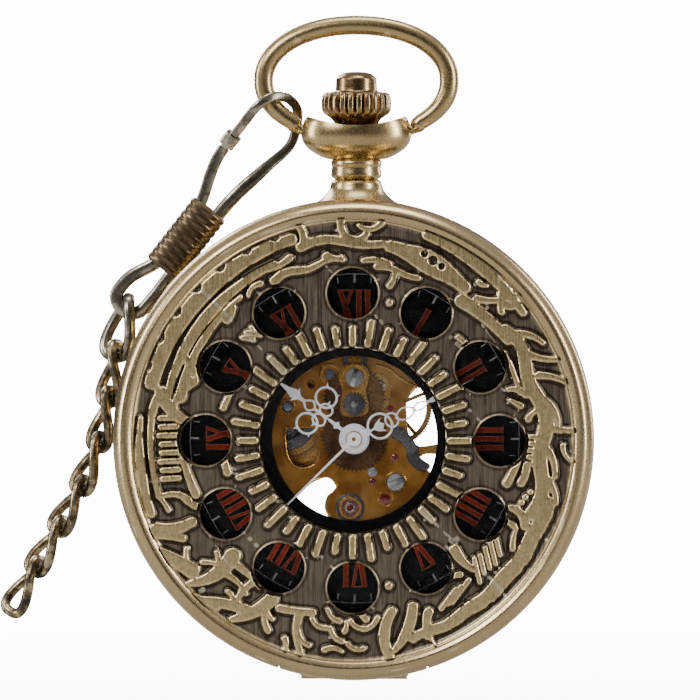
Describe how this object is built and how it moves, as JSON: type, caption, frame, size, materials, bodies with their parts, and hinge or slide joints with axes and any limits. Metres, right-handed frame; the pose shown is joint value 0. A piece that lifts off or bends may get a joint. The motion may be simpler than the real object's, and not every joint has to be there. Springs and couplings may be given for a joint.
{
  "type": "pocket watch",
  "caption": "Half-hunter pocket watch with an open-worked hinged lid, a skeleton hand-wound movement, a swinging bow and a snap-clasp chain",
  "frame": {"origin": "centre of the flat outer face of the back glass", "axes": "+X is 3 o'clock, +Z is 12 o'clock, the dial faces -Y and the back faces +Y"},
  "size_m": [0.0588, 0.0139, 0.0652],
  "materials": {
    "antique_bronze": "antique bronze plating, brushed, with dark patina in the recesses",
    "aged_chain_metal": "aged dark nickel over brass, rubbed bright on the high spots",
    "gilt_plate": "frosted copper-gold gilding",
    "gilt_wheel": "circular-grained gilding",
    "polished_steel": "polished steel",
    "spring_steel": "dark tempered spring steel",
    "dial_black": "gloss black dial lacquer",
    "hand_silver": "bright silvered",
    "glass": "clear mineral glass",
    "ruby": "synthetic ruby"
  },
  "bodies": {
    "case": {"mid_case": "antique_bronze", "back_bezel": "antique_bronze", "back_glass": "glass", "front_bezel": "antique_bronze", "crystal": "glass", "movement_ring": "gilt_plate", "dial_ring": "dial_black", "lid_hinge_pin": "polished_steel", "pendant": "antique_bronze", "main_plate": "gilt_plate", "barrel_bridge": "gilt_plate", "train_bridge": "gilt_plate", "balance_cock": "gilt_plate", "balance_jewel": "ruby", "click_spring": "spring_steel", "crown_wheel_screw": "polished_steel", "pillar_screw_1": "polished_steel", "pillar_screw_2": "polished_steel", "pillar_screw_3": "polished_steel", "pillar_screw_4": "polished_steel", "pillar_screw_5": "polished_steel"},
    "lid": {"lid": "antique_bronze"},
    "catch": {"lid_catch": "polished_steel"},
    "bow": {"bow": "antique_bronze"},
    "winding": {"sliding_clutch": "polished_steel", "winding_pinion": "polished_steel"},
    "crown": {"crown": "antique_bronze", "winding_stem": "polished_steel"},
    "setting_lever": {"setting_lever": "polished_steel"},
    "crown_wheel": {"crown_wheel": "polished_steel"},
    "ratchet": {"ratchet_wheel": "polished_steel", "barrel_arbor": "polished_steel"},
    "click": {"click": "polished_steel"},
    "barrel": {"barrel_drum": "gilt_wheel", "barrel_wheel": "gilt_wheel", "mainspring": "spring_steel"},
    "minute": {"centre_wheel": "gilt_wheel", "cannon_pinion": "gilt_wheel", "minute_hand": "hand_silver"},
    "minute_wheel": {"minute_wheel": "gilt_wheel"},
    "hour": {"hour_wheel": "gilt_wheel", "hour_hand": "hand_silver"},
    "third": {"third_wheel": "gilt_wheel"},
    "fourth": {"fourth_wheel": "gilt_wheel", "seconds_hand": "hand_silver"},
    "escape": {"escape_wheel": "gilt_wheel"},
    "pallet": {"pallet_fork": "gilt_wheel"},
    "balance": {"balance_wheel": "gilt_wheel", "hairspring": "spring_steel"},
    "clasp": {"clasp_hook": "aged_chain_metal", "clasp_sleeve": "aged_chain_metal"},
    "gate": {"clasp_gate": "aged_chain_metal"},
    "ring": {"chain_ring": "aged_chain_metal"},
    "link_1": {"link_1": "aged_chain_metal"},
    "link_2": {"link_2": "aged_chain_metal"},
    "link_3": {"link_3": "aged_chain_metal"},
    "link_4": {"link_4": "aged_chain_metal"},
    "link_5": {"link_5": "aged_chain_metal"},
    "link_6": {"link_6": "aged_chain_metal"}
  },
  "joints": [
    {"name": "lid_open", "type": "hinge", "parent": "case", "child": "lid", "pos_m": [0, -0.0099, -0.023], "axis": [1, 0, 0], "range_deg": [0, 100]},
    {"name": "catch_press", "type": "slide", "parent": "case", "child": "catch", "axis": [0, 0, -1], "range_m": [0, 0.0005]},
    {"name": "bow_swing", "type": "hinge", "parent": "case", "child": "bow", "pos_m": [0, -0.005, 0.0303], "axis": [1, 0, 0], "range_deg": [-85, 85]},
    {"name": "crown_turn", "type": "hinge", "parent": "case", "child": "winding", "pos_m": [0, -0.005, 0], "axis": [0, 0, 1], "continuous": true},
    {"name": "crown_pull", "type": "slide", "parent": "winding", "child": "crown", "axis": [0, 0, 1], "range_m": [-0.0005, 0.001]},
    {"name": "setting_lever_turn", "type": "hinge", "parent": "case", "child": "setting_lever", "pos_m": [0.0034, 0, 0.0103], "axis": [0, 1, 0], "range_deg": [-11, 22]},
    {"name": "crown_wheel_turn", "type": "hinge", "parent": "case", "child": "crown_wheel", "pos_m": [0, 0, 0.0093], "axis": [0, 1, 0], "continuous": true},
    {"name": "ratchet_turn", "type": "hinge", "parent": "case", "child": "ratchet", "pos_m": [-0.007, 0, 0.0019], "axis": [0, 1, 0], "continuous": true},
    {"name": "click_turn", "type": "hinge", "parent": "case", "child": "click", "pos_m": [-0.0099, 0, -0.005], "axis": [0, 1, 0], "range_deg": [0, 15]},
    {"name": "minute_turn", "type": "hinge", "parent": "case", "child": "minute", "pos_m": [0, 0, 0], "axis": [0, 1, 0], "continuous": true},
    {"name": "hour_turn", "type": "hinge", "parent": "case", "child": "hour", "pos_m": [0, 0, 0], "axis": [0, 1, 0], "continuous": true},
    {"name": "minute_wheel_turn", "type": "hinge", "parent": "case", "child": "minute_wheel", "pos_m": [0, 0, 0.004], "axis": [0, 1, 0], "continuous": true},
    {"name": "barrel_turn", "type": "hinge", "parent": "case", "child": "barrel", "pos_m": [-0.007, 0, 0.0019], "axis": [0, 1, 0], "continuous": true},
    {"name": "third_turn", "type": "hinge", "parent": "case", "child": "third", "pos_m": [0.0035, 0, 0.0029], "axis": [0, 1, 0], "continuous": true},
    {"name": "seconds_turn", "type": "hinge", "parent": "case", "child": "fourth", "pos_m": [0, 0, 0], "axis": [0, 1, 0], "continuous": true},
    {"name": "escape_turn", "type": "hinge", "parent": "case", "child": "escape", "pos_m": [0.00395, 0, -0.0019], "axis": [0, 1, 0], "continuous": true},
    {"name": "balance_swing", "type": "hinge", "parent": "case", "child": "balance", "pos_m": [-0.00045, 0, -0.0068], "axis": [0, 1, 0], "range_deg": [-250, 250]},
    {"name": "pallet_rock", "type": "hinge", "parent": "case", "child": "pallet", "pos_m": [0.00177, 0, -0.0043], "axis": [0, 1, 0], "range_deg": [-3.1, 3.1]},
    {"name": "clasp_swing", "type": "hinge", "parent": "bow", "child": "clasp", "pos_m": [-0.00763, -0.005, 0.03188], "axis": [0.7431, 0, -0.6691], "range_deg": [0, 42]},
    {"name": "gate_open", "type": "hinge", "parent": "clasp", "child": "gate", "pos_m": [-0.01745, -0.005, 0.02026], "axis": [0, 1, 0], "range_deg": [0, 14]},
    {"name": "ring_swing", "type": "hinge", "parent": "clasp", "child": "ring", "pos_m": [-0.02266, -0.005, 0.01301], "axis": [0, 1, 0], "range_deg": [-2, 20]},
    {"name": "link_1_swing", "type": "hinge", "parent": "ring", "child": "link_1", "pos_m": [-0.02387, -0.005, 0.00847], "axis": [0, 1, 0], "range_deg": [-3, 12]},
    {"name": "link_2_swing", "type": "hinge", "parent": "link_1", "child": "link_2", "pos_m": [-0.02451, -0.005, 0.00392], "axis": [0, 1, 0], "range_deg": [-3, 12]},
    {"name": "link_3_swing", "type": "hinge", "parent": "link_2", "child": "link_3", "pos_m": [-0.0255, -0.005, -0.00058], "axis": [0, 1, 0], "range_deg": [-3, 12]},
    {"name": "link_4_swing", "type": "hinge", "parent": "link_3", "child": "link_4", "pos_m": [-0.02717, -0.005, -0.00486], "axis": [0, 1, 0], "range_deg": [-3, 12]},
    {"name": "link_5_swing", "type": "hinge", "parent": "link_4", "child": "link_5", "pos_m": [-0.02939, -0.005, -0.00889], "axis": [0, 1, 0], "range_deg": [-3, 12]},
    {"name": "link_6_swing", "type": "hinge", "parent": "link_5", "child": "link_6", "pos_m": [-0.03169, -0.005, -0.01288], "axis": [0, 1, 0], "range_deg": [-3, 12]}
  ],
  "couplings": [
    {"joint": "setting_lever_turn", "follows": "crown_pull", "rad_per_m": 380},
    {"joint": "crown_wheel_turn", "follows": "crown_turn", "ratio": -0.54167},
    {"joint": "ratchet_turn", "follows": "crown_turn", "ratio": 0.43333},
    {"joint": "hour_turn", "follows": "minute_turn", "ratio": 0.083333},
    {"joint": "minute_wheel_turn", "follows": "minute_turn", "ratio": -0.33333},
    {"joint": "barrel_turn", "follows": "minute_turn", "ratio": -0.16667},
    {"joint": "third_turn", "follows": "minute_turn", "ratio": -8},
    {"joint": "seconds_turn", "follows": "minute_turn", "ratio": 60},
    {"joint": "escape_turn", "follows": "minute_turn", "ratio": -600},
    {"joint": "pallet_rock", "follows": "balance_swing", "ratio": -0.012}
  ]
}
